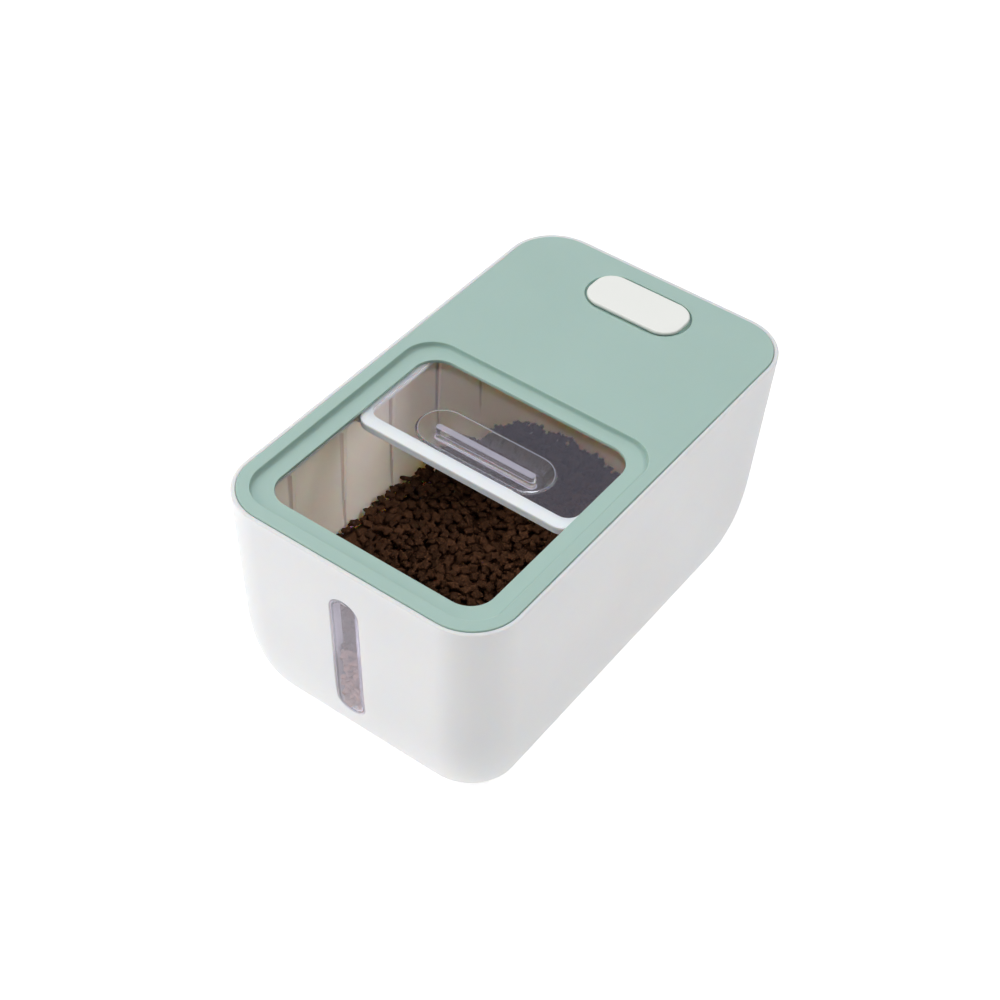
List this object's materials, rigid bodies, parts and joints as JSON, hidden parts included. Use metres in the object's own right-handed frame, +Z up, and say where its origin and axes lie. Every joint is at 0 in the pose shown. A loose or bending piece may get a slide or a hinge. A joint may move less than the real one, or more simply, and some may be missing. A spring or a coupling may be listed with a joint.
{
  "type": "pet food bin",
  "caption": "Rounded rectangular dry-food bin with a flush lift-off lid, a clear sliding door with a finger grip, a sight window and a covered drying-agent cup.",
  "frame": {"origin": "middle of the bin's footprint, on the surface that the feet stand on", "axes": "+Z up, +Y towards the rear of the bin where the drying-agent cover is, -Y out of the front wall with the window, +X to the right seen from the front"},
  "size_m": [0.24, 0.4078, 0.2086],
  "materials": {
    "bin_plastic": "satin moulded polypropylene",
    "lid_plastic": "fine matte moulded ABS, pale green",
    "frame_plastic": "semi-gloss white ABS",
    "clear_plastic": "clear polystyrene with a slight violet tint",
    "silicone": "translucent silicone",
    "foot_rubber": "grey non-slip rubber",
    "screw_steel": "zinc plated",
    "sachet_paper": "non-woven sachet paper"
  },
  "bodies": {
    "bin": {"bin_body": "bin_plastic", "window_insert": "clear_plastic", "foot_front_left": "foot_rubber", "foot_front_right": "foot_rubber", "foot_rear_left": "foot_rubber", "foot_rear_right": "foot_rubber"},
    "lid": {"lid_panel": "lid_plastic", "lid_gasket": "silicone", "left_rail": "frame_plastic", "right_rail": "frame_plastic", "rail_screws": "screw_steel"},
    "door": {"door_top_frame": "frame_plastic", "door_bottom_frame": "frame_plastic", "door_panel": "clear_plastic"},
    "cup": {"desiccant_cup": "frame_plastic", "desiccant_sachet": "sachet_paper"},
    "cover": {"desiccant_cover": "frame_plastic"}
  },
  "joints": [
    {"name": "lid_lift", "type": "slide", "parent": "bin", "child": "lid", "axis": [0, 0, 1], "range_m": [0, 0.08]},
    {"name": "door_slide", "type": "slide", "parent": "lid", "child": "door", "axis": [0, -1, 0], "range_m": [0, 0.107]},
    {"name": "cup_lift", "type": "slide", "parent": "lid", "child": "cup", "axis": [0, 0, 1], "range_m": [0, 0.04]},
    {"name": "cover_lift", "type": "slide", "parent": "cup", "child": "cover", "axis": [0, 0, 1], "range_m": [0, 0.02]}
  ]
}
